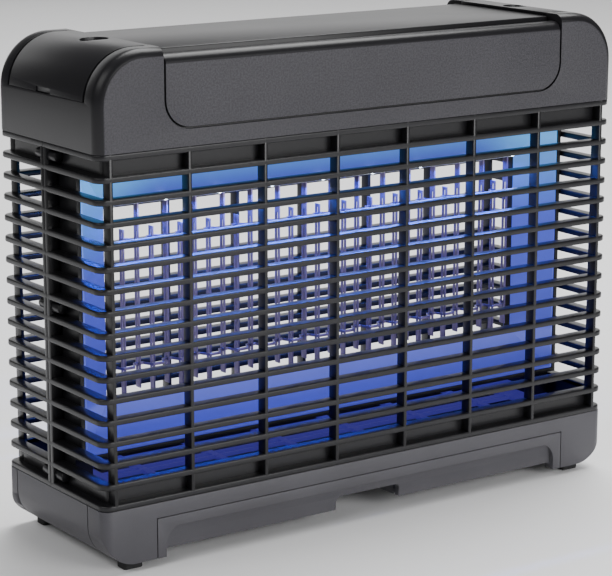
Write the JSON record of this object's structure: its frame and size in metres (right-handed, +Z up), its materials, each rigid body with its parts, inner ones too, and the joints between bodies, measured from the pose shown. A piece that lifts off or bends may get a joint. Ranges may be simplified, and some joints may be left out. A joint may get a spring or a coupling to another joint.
{
  "type": "electric insect killer",
  "caption": "Free-standing electric insect killer with a slatted cage, blue LED lamps around a strip grid, a slide-out tray and folding hanging rings.",
  "frame": {"origin": "on the floor under the middle of the body", "axes": "+X to the right seen from the front, front towards -Y, +Z up"},
  "size_m": [0.392, 0.12, 0.312],
  "materials": {
    "base_plastic": "fine grained",
    "tray_plastic": "fine grained",
    "foot_rubber": "matte",
    "dark_plastic": "satin",
    "cage_plastic": "satin",
    "housing_plastic": "glossy edges, grained faces",
    "black_plastic": "satin",
    "screw_steel": "zinc plated",
    "reflector_sheet": "bright rolled",
    "lamp_board": "solder mask",
    "lamp": "clear cap",
    "insulator": "glazed",
    "electrode_steel": "bright",
    "zinc_plate": "zinc plated",
    "ring_wire": "bright",
    "circuit_board": "solder mask",
    "winding": "taped",
    "capacitor_film": "sleeved",
    "driver_case": "plain",
    "red_lead": "plain",
    "white_lead": "plain"
  },
  "bodies": {
    "main": {"base_housing": "base_plastic", "rubber_feet": "foot_rubber", "floor_grate": "dark_plastic", "base_screws": "screw_steel", "frame_screws": "screw_steel", "front_cage": "cage_plastic", "rear_cage": "cage_plastic", "cage_screws": "screw_steel", "grid_frame": "dark_plastic", "front_reflector": "reflector_sheet", "rear_reflector": "reflector_sheet", "front_led_board": "lamp_board", "rear_led_board": "lamp_board", "front_leds": "lamp", "rear_leds": "lamp", "upper_insulator": "insulator", "lower_insulator": "insulator", "hanging_electrodes": "electrode_steel", "standing_electrodes": "electrode_steel", "chassis_plate": "zinc_plate", "chassis_screws": "screw_steel", "top_housing": "housing_plastic", "centre_cover": "housing_plastic", "cover_screws": "screw_steel", "left_end_panel": "housing_plastic", "right_end_panel": "housing_plastic", "voltage_board": "circuit_board", "transformer": "winding", "capacitors": "capacitor_film", "diodes": "black_plastic", "lamp_driver": "driver_case", "terminal_block": "insulator", "fuse_holder": "black_plastic", "board_screws": "screw_steel", "electrode_leads": "red_lead", "lamp_leads": "white_lead", "cable_gland": "black_plastic", "gland_nut": "black_plastic"},
    "tray": {"collection_tray": "tray_plastic"},
    "left_ring": {"left_hanging_ring": "ring_wire"},
    "right_ring": {"right_hanging_ring": "ring_wire"}
  },
  "joints": [
    {"name": "tray_slide", "type": "slide", "parent": "main", "child": "tray", "axis": [0, -1, 0], "range_m": [0, 0.1]},
    {"name": "left_ring_hinge", "type": "hinge", "parent": "main", "child": "left_ring", "pos_m": [-0.1685, 0, 0.308], "axis": [0, -1, 0], "range_deg": [0, 90]},
    {"name": "right_ring_hinge", "type": "hinge", "parent": "main", "child": "right_ring", "pos_m": [0.1685, 0, 0.308], "axis": [0, 1, 0], "range_deg": [0, 90]}
  ]
}
